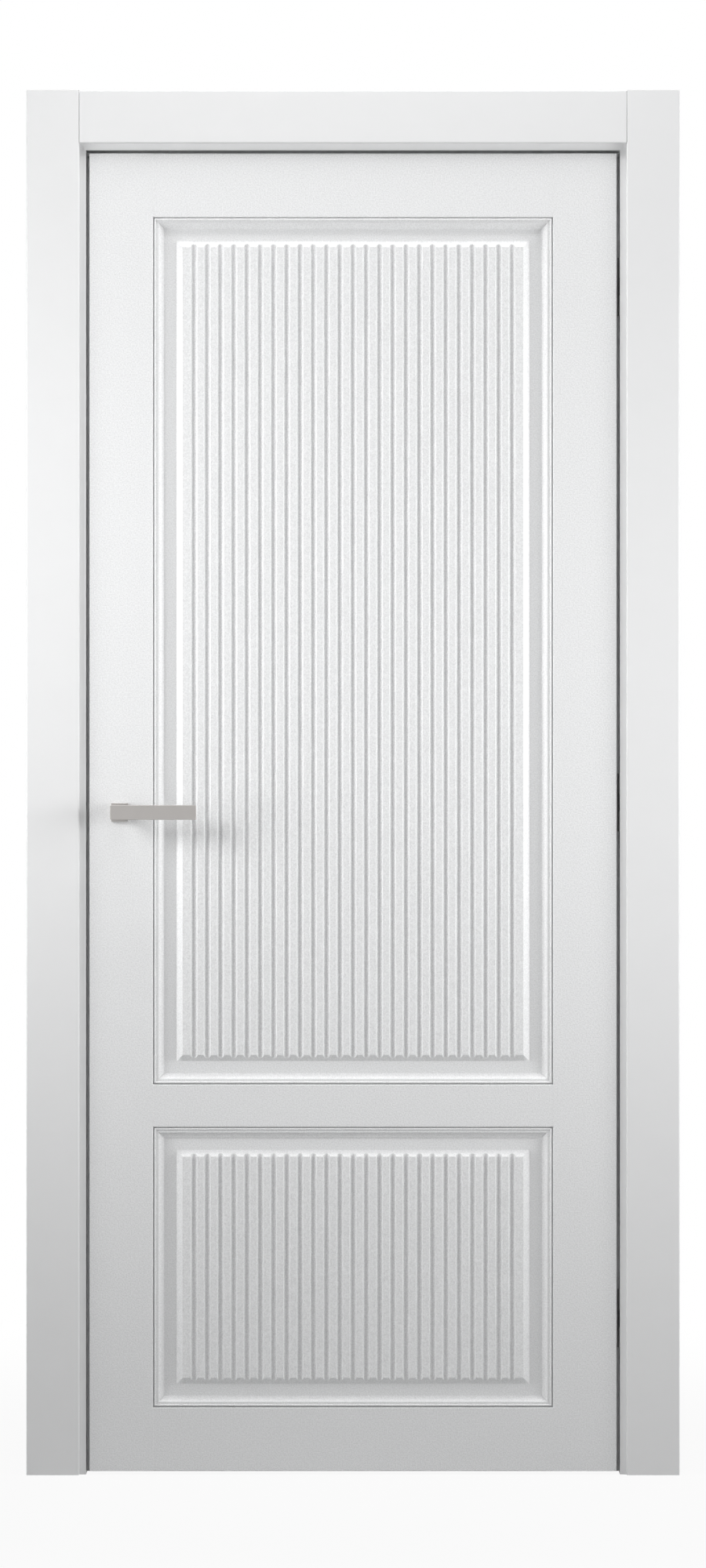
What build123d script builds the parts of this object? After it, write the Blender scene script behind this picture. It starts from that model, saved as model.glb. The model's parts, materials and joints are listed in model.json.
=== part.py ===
import os
from math import cos, pi, sin

from build123d import *

# Interior door with its frame, in mm. Sizes are worked in doorway coordinates: x = 0 is the middle of
# the doorway, y = 0 is the wall's front plane and the leaf's front face, z = 0 is the floor. The viewer
# stands on the -y side, where the leaf opens to. Each piece is moved to the row's origin when written.

# Leaf
leaf_width = 800.0
leaf_height = 2000.0
leaf_thickness = 40.0
stile_width = 97.0
top_rail_height = 97.0
lock_rail_height = 65.0
bottom_rail_height = 97.0
lower_panel_height = 425.0
arris = 1.0
opening_arris = 1.4

# Gaps round the leaf
leaf_gap = 5.0
floor_gap = 5.0

# Raised and fluted panels
recess_depth = 10.0
plateau_depth = 1.2
moulding_width = 17.0
recess_width = 18.0
bevel_run = 9.6
flute_pitch_aim = 20.1
flute_width = 10.0
flute_depth = 4.4
flute_flats = 6
flute_margin = 17.2
end_bevel_overrun = 1.4
tongue_length = 9.0
groove_depth = 10.0

# Moulding section: inset from the leaf frame, depth back from the leaf's face
quirk_depth = 6.0
bead_start = 1.5
bead_middle = 2.95
bead_end = 4.4
bead_crown = 0.05
bead_edge = 1.2
flat_depth = 2.0
cove_start = 8.0
cove_middle = (11.6, 6.0)
cove_end = (16.2, 8.5)
toe_depth = 9.1

# Frame
wall_thickness = 100.0
jamb_board = 28.0
stop_projection = 12.0
stop_gap = 6.5
housing_depth = 5.0
casing_width = 80.0
casing_thickness = 10.0
casing_round = 2.0
reveal = 10.0
tongue_offset = 21.5
tongue_thickness = 6.0
casing_tongue = 12.0
seal_width = 8.0
seal_proud = 1.5
seal_stem = 2.0
seal_stem_depth = 7.0
seal_groove_room = 0.5
tongue_groove_room = 1.0
casing_tongue_stop = 5.0
head_tongue_stop = 10.0
casing_joint = 0.4

# Lever handle and latch
lever_height = 1005.0
lever_backset = 46.0
rose_width = 26.0
rose_height = 28.0
rose_thickness = 8.0
grip_length = 130.0
grip_height = 22.0
grip_thickness = 10.0
grip_heel = 12.5
grip_reach = 58.0
grip_corner = 1.8
grip_edge = 0.6
neck_radius = 8.5
neck_play = 0.3
rose_edge = 0.6
spindle_size = 8.0
spindle_entry = 0.5
spindle_end_room = 0.5
follower_radius = 6.0
latch_drop = 20.0
forend_width = 20.0
forend_length = 195.0
forend_thickness = 3.0
forend_corner = 9.5
case_depth = 64.0
case_height = 160.0
case_thickness = 15.0
bolt_width = 12.0
bolt_length = 40.0
bolt_depth = 18.0
strike_width = 24.0
strike_length = 120.0
strike_thickness = 3.0
strike_corner = 5.0
strike_box_depth = 9.0
strike_box_wall = 1.5
strike_room_across = 1.5
strike_room_along = 3.5

# Concealed hinges
hinge_from_top = 200.0
hinge_from_bottom = 230.0
hinge_plate_length = 140.0
hinge_plate_thickness = 3.0
cup_length = 104.0
cup_depth = 16.0
cup_wall = 2.0
cup_margin = 6.0
pocket_length = 90.0
pivot_inset = 4.5
pivot_forward = 8.5
arm_across = 7.0
arm_reach = 16.5
barrel_radius = 4.3
barrel_flats = 12
pin_radius = 2.4
pin_play = 0.1
knuckle_half = 13.0
fork_play = 0.5
arm_end_play = 1.0

# Fits, and how far a cutter runs past what it cuts or a lap runs into what it joins
fit_gap = 0.1
mortise_gap = 0.15
casing_seat = 0.3
mitre_gap = 0.15
over = 1.0

# Positions worked out from the sizes
half_leaf = leaf_width / 2
leaf_bottom = floor_gap
leaf_top = floor_gap + leaf_height
rebate_x = half_leaf + leaf_gap
stop_x = rebate_x - stop_projection
jamb_outer_x = rebate_x + jamb_board
rebate_z = leaf_top + leaf_gap
stop_z = rebate_z - stop_projection
jamb_outer_z = rebate_z + jamb_board
stop_y = leaf_thickness + stop_gap
jamb_front_y = casing_seat
jamb_back_y = wall_thickness - casing_seat
half_opening = half_leaf - stile_width
lower_opening = (leaf_bottom + bottom_rail_height, leaf_bottom + bottom_rail_height + lower_panel_height)
upper_opening = (lower_opening[1] + lock_rail_height, leaf_top - top_rail_height)
core_back = leaf_thickness - recess_depth
plateau_inset = moulding_width + recess_width + bevel_run
plateau_half = half_opening - plateau_inset
flute_count = round((2 * plateau_half - 2 * flute_margin) / flute_pitch_aim) + 1
flute_pitch = (2 * plateau_half - 2 * flute_margin) / (flute_count - 1)
tongue_x = rebate_x + tongue_offset
tongue_z = rebate_z + tongue_offset
spindle_x = -half_leaf + lever_backset
latch_z = lever_height - latch_drop
middle_y = leaf_thickness / 2
hinge_top_z = leaf_top - hinge_from_top
hinge_bottom_z = leaf_bottom + hinge_from_bottom
hinge_heights = (hinge_bottom_z, (hinge_bottom_z + hinge_top_z) / 2, hinge_top_z)
pivot_y = middle_y - pivot_forward
swing_x = half_leaf + leaf_gap / 2
frame_pivot = (swing_x + arm_across, pivot_y)
leaf_pivot = (swing_x - arm_across, pivot_y)


def block(x0, x1, y0, y1, z0, z1):
    """A box between two corners."""
    return Pos((x0 + x1) / 2, (y0 + y1) / 2, (z0 + z1) / 2) * Box(x1 - x0, y1 - y0, z1 - z0)


def plan_prism(points, z0, z1):
    """A closed outline of x, y points pulled up from z0 to z1."""
    face = make_face(Polyline(*points, close=True))
    return extrude(Pos(0, 0, z0) * face, amount=z1 - z0, dir=(0, 0, 1))


def side_prism(points, x0, x1):
    """A closed outline of z, y points pulled across from x0 to x1."""
    face = make_face(Polyline(*points, close=True))
    return Rot(0, -90, 0) * extrude(Pos(0, 0, -x1) * face, amount=x1 - x0, dir=(0, 0, 1))


def rod_along_y(x, z, radius, y0, y1):
    """A round rod that runs front to back."""
    return Pos(x, (y0 + y1) / 2, z) * Rot(90, 0, 0) * Cylinder(radius, y1 - y0)


def rod_along_z(x, y, radius, z0, z1):
    """A round rod that stands upright."""
    return Pos(x, y, (z0 + z1) / 2) * Cylinder(radius, z1 - z0)


def back_of_leaf(shape):
    """The same piece on the leaf's other face."""
    return mirror(shape, about=Plane((0, middle_y, 0), z_dir=(0, 1, 0)))


def single(shape):
    """The one solid of a shape, with split faces joined up."""
    solids = shape.solids()
    assert len(solids) == 1, f"expected one solid, got {len(solids)}"
    return solids[0].clean()


# Leaf frame
def opening_arrises():
    """The wedges round both openings, on both faces, that ease the leaf frame's edges there."""
    wedges = []
    for z0, z1 in (lower_opening, upper_opening):
        wide = 2 * (half_opening + opening_arris)
        high = z1 - z0 + 2 * opening_arris
        face = Pos(0, 0, (z0 + z1) / 2) * Rot(90, 0, 0) * Rectangle(wide, high)
        wedge = extrude(face, amount=opening_arris, dir=(0, 1, 0), taper=45)
        wedges += [wedge, back_of_leaf(wedge)]
    return wedges


def eased(member):
    """A member of the leaf frame with its edges round the openings eased."""
    for wedge in opening_arrises():
        member -= wedge
    return member


def stile(side):
    """An upright of the leaf, grooved on its inner edge: side is -1 at the latch, 1 at the hinges."""
    groove_front = recess_depth - mortise_gap
    groove_back = core_back + mortise_gap
    outline = [
        (half_opening, 0),
        (half_leaf - arris, 0),
        (half_leaf, arris),
        (half_leaf, leaf_thickness - arris),
        (half_leaf - arris, leaf_thickness),
        (half_opening, leaf_thickness),
        (half_opening, groove_back),
        (half_opening + groove_depth, groove_back),
        (half_opening + groove_depth, groove_front),
        (half_opening, groove_front),
    ]
    return plan_prism([(side * x, y) for x, y in outline], leaf_bottom, leaf_top)


def rail(z0, z1, groove_below, groove_above, arris_below, arris_above):
    """A cross piece of the leaf with a stub tenon at each end and a groove where a panel meets it."""
    low = arris if arris_below else 0
    high = arris if arris_above else 0
    outline = [
        (z0 + low, 0),
        (z1 - high, 0),
        (z1, high),
        (z1, leaf_thickness - high),
        (z1 - high, leaf_thickness),
        (z0 + low, leaf_thickness),
        (z0, leaf_thickness - low),
        (z0, low),
    ]
    tidy = [point for i, point in enumerate(outline) if point not in outline[:i]]
    body = side_prism(tidy, -half_opening + fit_gap, half_opening - fit_gap)
    tenon_low = z0 + (groove_depth if groove_below else 0)
    tenon_high = z1 - (groove_depth if groove_above else 0)
    reach = half_opening + tongue_length
    body += block(-reach, reach, recess_depth, core_back, tenon_low, tenon_high)
    groove_front = recess_depth - mortise_gap
    groove_back = core_back + mortise_gap
    if groove_below:
        body -= block(-reach - over, reach + over, groove_front, groove_back, z0 - over, z0 + groove_depth)
    if groove_above:
        body -= block(-reach - over, reach + over, groove_front, groove_back, z1 - groove_depth, z1 + over)
    return body


# Panels
def flute_hollow(centre):
    """The points of one flute's hollow in plan, on half an ellipse, so that its walls start upright."""
    points = []
    for index in range(flute_flats + 1):
        turn = pi * (index / flute_flats - 0.5)
        points.append((centre + flute_width / 2 * sin(turn), plateau_depth + flute_depth * cos(turn)))
    return points


def front_outline():
    """The panel's front in plan from left to right: recess, bevel, fluted plateau, bevel, recess."""
    edge_x = half_opening + tongue_length
    foot_x = plateau_half + bevel_run
    points = [(-edge_x, recess_depth), (-foot_x, recess_depth), (-plateau_half, plateau_depth)]
    for index in range(flute_count):
        points += flute_hollow(-plateau_half + flute_margin + index * flute_pitch)
    points += [(plateau_half, plateau_depth), (foot_x, recess_depth), (edge_x, recess_depth)]
    return points


def panel_section():
    """The panel's whole section in plan, both faces alike."""
    front = front_outline()
    back = [(-x, leaf_thickness - y) for x, y in front]
    return make_face(Polyline(*front, *back, close=True))


def panel(z0, z1):
    """A raised panel for the opening from z0 to z1: the flutes run out through the end bevels."""
    low = z0 - tongue_length
    high = z1 + tongue_length
    across = extrude(Pos(0, 0, low) * panel_section(), amount=high - low, dir=(0, 0, 1))
    rise = (recess_depth - plateau_depth) * end_bevel_overrun
    run = bevel_run * end_bevel_overrun
    border = moulding_width + recess_width
    front = recess_depth - rise
    back = core_back + rise
    outline = [
        (low, recess_depth),
        (z0 + border, recess_depth),
        (z0 + border + run, front),
        (z1 - border - run, front),
        (z1 - border, recess_depth),
        (high, recess_depth),
        (high, core_back),
        (z1 - border, core_back),
        (z1 - border - run, back),
        (z0 + border + run, back),
        (z0 + border, core_back),
        (low, core_back),
    ]
    edge_x = half_opening + tongue_length
    return across & side_prism(outline, -edge_x - over, edge_x + over)


# Mouldings between the leaf frame and the panels
def moulding_section():
    """A moulding's section: a quirk, a bead, a flat, a cove and a toe."""
    base = recess_depth - fit_gap
    toe_start = cove_end[0]
    edges = [
        Line((fit_gap, base), (fit_gap, quirk_depth)),
        Line((fit_gap, quirk_depth), (bead_start, quirk_depth)),
        Line((bead_start, quirk_depth), (bead_start, bead_edge)),
        ThreePointArc((bead_start, bead_edge), (bead_middle, bead_crown), (bead_end, bead_edge)),
        Line((bead_end, bead_edge), (bead_end, flat_depth)),
        Line((bead_end, flat_depth), (cove_start, flat_depth)),
        ThreePointArc((cove_start, flat_depth), cove_middle, cove_end),
        Line(cove_end, (toe_start, toe_depth)),
        Line((toe_start, toe_depth), (moulding_width, toe_depth)),
        Line((moulding_width, toe_depth), (moulding_width, base)),
        Line((moulding_width, base), (fit_gap, base)),
    ]
    return make_face(edges)


def moulding_stick(length):
    """One stick standing along z from 0 to length, with both ends cut to 45 degrees."""
    stick = extrude(moulding_section(), amount=length, dir=(0, 0, 1))
    wide = moulding_width + over
    trim = [
        (-over, mitre_gap - over),
        (-over, length - mitre_gap + over),
        (wide, length - mitre_gap - wide),
        (wide, mitre_gap + wide),
    ]
    face = make_face(Polyline(*trim, close=True))
    deep = recess_depth + over
    cutter = extrude(Pos(0, 0, -deep) * face, amount=deep + over, dir=(0, 0, 1))
    return stick & Rot(90, 0, 0) * cutter


def moulding_frame(z0, z1):
    """Four sticks round a panel on the leaf's front face."""
    upright = moulding_stick(z1 - z0)
    level = moulding_stick(2 * half_opening)
    left = Pos(-half_opening, 0, z0) * upright
    right = Pos(half_opening, 0, z1) * Rot(0, 180, 0) * upright
    below = Pos(half_opening, 0, z0) * Rot(0, -90, 0) * level
    above = Pos(-half_opening, 0, z1) * Rot(0, 90, 0) * level
    return [left, right, below, above]


# Frame
def seal_groove_x():
    """The middle of the seal's stem on a side jamb."""
    return (stop_x + rebate_x) / 2


def tongue_grooves():
    """The front and back limits of the grooves for the casings' tongues, one on each side of the wall."""
    deep = casing_tongue + tongue_groove_room
    return ((-over, deep), (wall_thickness - deep, wall_thickness + over))


def side_jamb(side):
    """An upright of the frame with its stop, grooved for the seal and for both casings' tongues."""
    board = block(rebate_x, jamb_outer_x, jamb_front_y, jamb_back_y, 0, jamb_outer_z)
    housing_x = rebate_x + housing_depth
    board -= block(rebate_x - over, housing_x, 0, wall_thickness, rebate_z, jamb_outer_z + over)
    board += block(stop_x, rebate_x + over, stop_y, jamb_back_y, 0, stop_z - fit_gap)
    middle = seal_groove_x()
    half_stem = seal_stem / 2 + mortise_gap
    groove_y = stop_y + seal_stem_depth + seal_groove_room
    board -= block(middle - half_stem, middle + half_stem, 0, groove_y, -over, stop_z + over)
    half_tongue = tongue_thickness / 2 + mortise_gap
    for y0, y1 in tongue_grooves():
        board -= block(tongue_x - half_tongue, tongue_x + half_tongue, y0, y1, -over, jamb_outer_z + over)
    return board if side > 0 else mirror(board, about=Plane.YZ)


def head_jamb():
    """The head of the frame, housed into both side jambs."""
    reach = rebate_x + housing_depth - fit_gap
    stop_reach = rebate_x - fit_gap
    board = block(-reach, reach, jamb_front_y, jamb_back_y, rebate_z + fit_gap, jamb_outer_z)
    board += block(-stop_reach, stop_reach, stop_y, jamb_back_y, stop_z, rebate_z + over)
    middle = (stop_z + rebate_z) / 2
    half_stem = seal_stem / 2 + mortise_gap
    groove_y = stop_y + seal_stem_depth + seal_groove_room
    board -= block(-reach, reach, 0, groove_y, middle - half_stem, middle + half_stem)
    half_tongue = tongue_thickness / 2 + mortise_gap
    for y0, y1 in tongue_grooves():
        board -= block(-reach - over, reach + over, y0, y1, tongue_z - half_tongue, tongue_z + half_tongue)
    return board


def seal_edges(length):
    """A seal standing along z: a low bead at x = 0 with a stem behind it, its bead facing -y."""
    half = seal_width / 2
    stem = seal_stem / 2
    seat = stop_y - fit_gap
    edges = [
        ThreePointArc((-half, seat), (0, stop_y - seal_proud), (half, seat)),
        Line((half, seat), (stem, seat)),
        Line((stem, seat), (stem, stop_y + seal_stem_depth)),
        Line((stem, stop_y + seal_stem_depth), (-stem, stop_y + seal_stem_depth)),
        Line((-stem, stop_y + seal_stem_depth), (-stem, seat)),
        Line((-stem, seat), (-half, seat)),
    ]
    return extrude(make_face(edges), amount=length, dir=(0, 0, 1))


def casing(length, tongue_from, tongue_to, tongue_at, front):
    """A casing standing along z from 0 to length, its inner edge at x = 0, for the wall's front or back."""
    board = block(0, casing_width, -casing_thickness, 0, 0, length)
    outer = board.edges().filter_by(Axis.Z).group_by(Axis.Y)[0]
    board = fillet(outer, radius=casing_round)
    half = tongue_thickness / 2
    board += block(tongue_at - half, tongue_at + half, -over, casing_tongue, tongue_from, tongue_to)
    if front:
        return board
    return mirror(board, about=Plane((0, wall_thickness / 2, 0), z_dir=(0, 1, 0)))


def casings(front):
    """The three casings of one side of the wall: left, right and head."""
    inner_x = (rebate_x if front else stop_x) + reveal
    inner_z = (rebate_z if front else stop_z) + reveal
    top_z = inner_z + casing_width
    upright = casing(top_z, 0, jamb_outer_z - casing_tongue_stop, tongue_x - inner_x, front)
    right = Pos(inner_x, 0, 0) * upright
    left = mirror(right, about=Plane.YZ)
    half_head = inner_x - casing_joint
    tongue_end = 2 * half_head - head_tongue_stop
    level = casing(2 * half_head, head_tongue_stop, tongue_end, tongue_z - inner_z, front)
    head = Pos(half_head, 0, inner_z) * Rot(0, -90, 0) * level
    return {"left": left, "right": right, "head": head}


# Concealed hinges, one fixed swing axis, two mirrored arms on an elbow pin
def arm_outline():
    """An arm in plan, from its pivot at 0, 0 to the elbow, bowed to clear the cup's lip."""
    return [
        (4.2, 0.5),
        (5.6, 6.5),
        (3.4, 13.5),
        (-3.2, arm_reach + 3.0),
        (-arm_across - 1.5, arm_reach + 3.6),
        (-arm_across - 3.6, arm_reach - 2.0),
        (-3.6, 12.4),
        (-1.0, 7.2),
        (-2.6, 3.2),
    ]


def barrel(x, y, z0, z1):
    """The stout bar round a hinge pin, before boring, with a few flats for its round."""
    section = RegularPolygon(radius=barrel_radius, side_count=barrel_flats)
    return extrude(Pos(x, y, z0) * section, amount=z1 - z0)


def arm_plate(z0, z1):
    """A level slice of an arm with an eye at each end, before boring."""
    plate = plan_prism(arm_outline(), z0, z1)
    plate += barrel(0, 0, z0, z1)
    plate += barrel(-arm_across, arm_reach, z0, z1)
    return plate


def frame_arm():
    """The forked arm on the frame's pivot: two plates, one barrel, and the elbow pin."""
    half = pocket_length / 2 - arm_end_play
    fork = knuckle_half + fork_play
    arm = arm_plate(fork, half)
    arm += arm_plate(-half, -fork)
    arm += barrel(0, 0, -half, half)
    arm += rod_along_z(-arm_across, arm_reach, pin_radius, -half, half)
    arm -= rod_along_z(0, 0, pin_radius + pin_play, -half - over, half + over)
    return arm


def leaf_arm():
    """The single arm on the leaf's pivot, its eye between the fork's plates."""
    half = pocket_length / 2 - arm_end_play
    arm = mirror(arm_plate(-knuckle_half, knuckle_half), about=Plane.YZ)
    arm += barrel(0, 0, -half, half)
    arm -= rod_along_z(0, 0, pin_radius + pin_play, -half - over, half + over)
    arm -= rod_along_z(arm_across, arm_reach, pin_radius + pin_play, -half, half)
    return arm


def hinge_cup(clear=0.0, bored=True):
    """A hinge body at x = 0, opening towards -x, with its plate, pocket and pivot pin, centred on z = 0."""
    plate_front = cup_margin - cup_wall - clear
    plate_back = leaf_thickness - plate_front
    front = cup_margin - cup_wall / 2 - clear
    back = leaf_thickness - front
    half_plate = hinge_plate_length / 2 + clear
    half_cup = cup_length / 2 + clear
    body = block(0, hinge_plate_thickness, plate_front, plate_back, -half_plate, half_plate)
    body += block(0, cup_depth + clear, front, back, -half_cup, half_cup)
    if not bored:
        return body + block(-leaf_gap, over, plate_front, plate_back, -half_plate, half_plate)
    half_pocket = pocket_length / 2
    pocket_back = leaf_thickness - cup_margin
    body -= block(-over, cup_depth - cup_wall, cup_margin, pocket_back, -half_pocket, half_pocket)
    body += rod_along_z(pivot_inset, pivot_y, pin_radius, -half_pocket - over, half_pocket + over)
    return body


def place_hinge(shape, z, in_frame):
    """A hinge body set into the jamb or, turned round, into the leaf's edge."""
    if in_frame:
        return Pos(rebate_x, 0, z) * shape
    return Pos(half_leaf, 0, z) * mirror(shape, about=Plane.YZ)


# Latch, strike and lever set
def rounded_plate(x0, x1, width, length, corner, z):
    """A flat plate across the leaf's edge with rounded corners, centred on the leaf's thickness."""
    plate = block(x0, x1, middle_y - width / 2, middle_y + width / 2, z - length / 2, z + length / 2)
    return fillet(plate.edges().filter_by(Axis.X), radius=corner)


def latch_case():
    """The magnetic latch's case with its forend, open for the bolt and for the spindle."""
    edge = -half_leaf
    plate_back = edge + forend_thickness
    case = rounded_plate(edge, plate_back, forend_width, forend_length, forend_corner, latch_z)
    half = case_thickness / 2
    tall = case_height / 2
    case_back = edge + case_depth
    case += block(edge + over, case_back, middle_y - half, middle_y + half, latch_z - tall, latch_z + tall)
    slot = mortise_gap + bolt_width / 2
    long = mortise_gap + bolt_length / 2
    slot_back = edge + bolt_depth + mortise_gap
    case -= block(edge - over, slot_back, middle_y - slot, middle_y + slot, latch_z - long, latch_z + long)
    case -= rod_along_y(spindle_x, lever_height, follower_radius, 0, leaf_thickness)
    return case


def latch_mortise():
    """The room for the latch in the latch stile."""
    edge = -half_leaf
    width = forend_width + 2 * mortise_gap
    length = forend_length + 2 * mortise_gap
    plate_back = edge + forend_thickness + mortise_gap
    room = rounded_plate(edge - leaf_gap, plate_back, width, length, forend_corner, latch_z)
    half = case_thickness / 2 + mortise_gap
    tall = case_height / 2 + mortise_gap
    case_back = edge + case_depth + mortise_gap
    room += block(edge - over, case_back, middle_y - half, middle_y + half, latch_z - tall, latch_z + tall)
    return room


def latch_bolt():
    """The magnetic bolt, drawn in flush with the forend."""
    edge = -half_leaf
    half = bolt_width / 2
    tall = bolt_length / 2
    back = edge + bolt_depth
    return block(edge + fit_gap, back, middle_y - half, middle_y + half, latch_z - tall, latch_z + tall)


def strike_solid(clear):
    """The outside of the strike plate and its box, grown by clear."""
    face = -rebate_x
    plate_back = face - strike_thickness - clear
    plate_front = face + leaf_gap if clear else face
    width = strike_width + 2 * clear
    length = strike_length + 2 * clear
    plate = rounded_plate(plate_back, plate_front, width, length, strike_corner, latch_z)
    half = bolt_width / 2 + strike_room_across + strike_box_wall + clear
    tall = bolt_length / 2 + strike_room_along + strike_box_wall + clear
    box_back = face - strike_box_depth - clear
    plate += block(box_back, face - over, middle_y - half, middle_y + half, latch_z - tall, latch_z + tall)
    return plate


def strike_plate():
    """The strike plate with the pocket that the bolt enters."""
    face = -rebate_x
    half = bolt_width / 2 + strike_room_across
    tall = bolt_length / 2 + strike_room_along
    floor = face - strike_box_depth + strike_box_wall
    pocket = block(floor, face + over, middle_y - half, middle_y + half, latch_z - tall, latch_z + tall)
    return strike_solid(0.0) - pocket


def rose():
    """The small block rose on the leaf's front face, bored for the lever's neck."""
    half = rose_width / 2
    low = lever_height - rose_height / 2
    high = lever_height + rose_height / 2
    plate = block(spindle_x - half, spindle_x + half, -rose_thickness, -fit_gap, low, high)
    plate = chamfer(plate.faces().sort_by(Axis.Y)[0].edges(), length=rose_edge)
    return plate - rod_along_y(spindle_x, lever_height, neck_radius + neck_play, -rose_thickness - over, over)


def lever():
    """A front lever: a flat bar grip on a round neck, square-bored for the spindle."""
    left = spindle_x - grip_heel
    front = -grip_reach
    back = front + grip_thickness
    half = grip_height / 2
    grip = block(left, left + grip_length, front, back, lever_height - half, lever_height + half)
    grip = fillet(grip.edges().filter_by(Axis.Y), radius=grip_corner)
    grip = chamfer(grip.faces().sort_by(Axis.Y)[0].edges(), length=grip_edge)
    grip += rod_along_y(spindle_x, lever_height, neck_radius, back - over, -2 * fit_gap)
    room = spindle_size / 2 + fit_gap
    bore_end = back - spindle_entry - spindle_end_room
    bore = block(spindle_x - room, spindle_x + room, bore_end, over, lever_height - room, lever_height + room)
    return grip - bore


def spindle():
    """The square steel spindle through the leaf."""
    half = spindle_size / 2
    end = grip_reach - grip_thickness + spindle_entry
    low = lever_height - half
    high = lever_height + half
    return block(spindle_x - half, spindle_x + half, -end, leaf_thickness + end, low, high)


# All pieces by node name
pieces = {}

stile_latch = eased(stile(-1)) - latch_mortise()
stile_latch -= rod_along_y(spindle_x, lever_height, neck_radius, -over, leaf_thickness + over)
pieces["stile_latch"] = [stile_latch]
stile_hinge = eased(stile(1))
jamb_hinge = side_jamb(1)
for name in ("hinge_cups_frame", "hinge_cups_leaf", "hinge_arms_frame", "hinge_arms_leaf"):
    pieces[name] = []
for height in hinge_heights:
    stile_hinge -= place_hinge(hinge_cup(mortise_gap, bored=False), height, in_frame=False)
    jamb_hinge -= place_hinge(hinge_cup(mortise_gap, bored=False), height, in_frame=True)
    pieces["hinge_cups_frame"].append(place_hinge(hinge_cup(), height, in_frame=True))
    pieces["hinge_cups_leaf"].append(place_hinge(hinge_cup(), height, in_frame=False))
    pieces["hinge_arms_frame"].append(Pos(*frame_pivot, height) * frame_arm())
    pieces["hinge_arms_leaf"].append(Pos(*leaf_pivot, height) * leaf_arm())
pieces["stile_hinge"] = [stile_hinge]
pieces["jamb_hinge"] = [jamb_hinge]

lock_rail_z = (lower_opening[1], upper_opening[0])
pieces["rail_top"] = [eased(rail(upper_opening[1], leaf_top, True, False, False, True))]
pieces["rail_lock"] = [eased(rail(*lock_rail_z, True, True, False, False))]
pieces["rail_bottom"] = [eased(rail(leaf_bottom, lower_opening[0], False, True, True, False))]
for place, opening in (("upper", upper_opening), ("lower", lower_opening)):
    pieces["panel_" + place] = [panel(*opening)]
    front_sticks = moulding_frame(*opening)
    pieces["moulding_" + place + "_front"] = front_sticks
    pieces["moulding_" + place + "_back"] = [back_of_leaf(stick) for stick in front_sticks]

pieces["latch_case"] = [latch_case()]
pieces["latch_bolt"] = [latch_bolt()]
pieces["rose_front"] = [rose()]
pieces["rose_back"] = [back_of_leaf(rose())]
pieces["lever_front"] = [lever()]
pieces["lever_back"] = [back_of_leaf(lever())]
pieces["spindle"] = [spindle()]

pieces["jamb_latch"] = [side_jamb(-1) - strike_solid(mortise_gap)]
pieces["jamb_head"] = [head_jamb()]
pieces["strike_plate"] = [strike_plate()]
seal_side = seal_edges(stop_z - seal_width)
pieces["seal_hinge"] = [Pos(seal_groove_x(), 0, 0) * seal_side]
pieces["seal_latch"] = [Pos(-seal_groove_x(), 0, 0) * seal_side]
seal_across = seal_edges(2 * stop_x + seal_width)
pieces["seal_head"] = [
    Pos(stop_x + seal_width / 2, 0, (stop_z + rebate_z) / 2) * Rot(0, -90, 0) * seal_across
]
for wall_side in ("front", "back"):
    for place, board in casings(wall_side == "front").items():
        pieces["casing_" + wall_side + "_" + place] = [board]

# The row's origin is on the hinge jamb's wall-side face, at the floor, midway through the wall
to_row = Pos(-jamb_outer_x, -wall_thickness / 2, 0)

os.makedirs("parts", exist_ok=True)
for name, shapes in pieces.items():
    solids = [to_row * single(shape) for shape in shapes]
    export_step(solids[0] if len(solids) == 1 else Compound(children=solids), f"parts/{name}.step")
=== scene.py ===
import json
import math

import bmesh
import bpy
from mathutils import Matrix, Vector


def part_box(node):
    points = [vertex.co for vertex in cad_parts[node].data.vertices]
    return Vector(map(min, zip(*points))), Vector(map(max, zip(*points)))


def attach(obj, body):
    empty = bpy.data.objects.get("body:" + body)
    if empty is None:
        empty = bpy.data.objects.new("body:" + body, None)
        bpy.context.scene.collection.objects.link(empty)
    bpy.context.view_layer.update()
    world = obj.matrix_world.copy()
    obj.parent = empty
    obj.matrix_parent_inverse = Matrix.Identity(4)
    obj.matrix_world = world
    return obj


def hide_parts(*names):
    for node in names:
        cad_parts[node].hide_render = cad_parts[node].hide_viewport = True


# The looks of a painted interior door in its frame, in metres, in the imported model's own frame
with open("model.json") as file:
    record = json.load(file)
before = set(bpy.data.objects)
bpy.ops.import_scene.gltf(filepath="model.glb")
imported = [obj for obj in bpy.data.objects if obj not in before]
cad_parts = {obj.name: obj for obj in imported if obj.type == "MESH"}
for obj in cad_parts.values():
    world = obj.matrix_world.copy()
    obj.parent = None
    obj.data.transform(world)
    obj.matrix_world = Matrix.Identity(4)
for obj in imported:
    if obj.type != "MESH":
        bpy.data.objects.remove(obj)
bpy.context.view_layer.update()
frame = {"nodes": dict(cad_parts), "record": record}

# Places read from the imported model
leaf_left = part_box("stile_latch")[0].x
leaf_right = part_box("stile_hinge")[1].x
leaf_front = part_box("stile_latch")[0].y
leaf_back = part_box("stile_latch")[1].y
centre_x = (leaf_left + leaf_right) / 2
middle_y = (leaf_front + leaf_back) / 2
opening_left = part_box("stile_latch")[1].x
opening_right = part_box("stile_hinge")[0].x
openings = {
    "lower": (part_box("rail_bottom")[1].z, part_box("rail_lock")[0].z),
    "upper": (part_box("rail_lock")[1].z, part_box("rail_top")[0].z),
}

# Raised panels
RECESS_DEPTH = 0.010
PLATEAU_DEPTH = 0.0012
MOULDING_WIDTH = 0.017
RECESS_WIDTH = 0.018
BEVEL_RUN = 0.0096
TONGUE = 0.009
FLUTE_COUNT = 25
FLUTE_WIDTH = 0.010
FLUTE_DEPTH = 0.0044
FLUTE_MARGIN = 0.0172
SOFT_EDGE = 0.0004
SOFT_STEPS = 3
FLUTE_STEPS = 20

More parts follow.
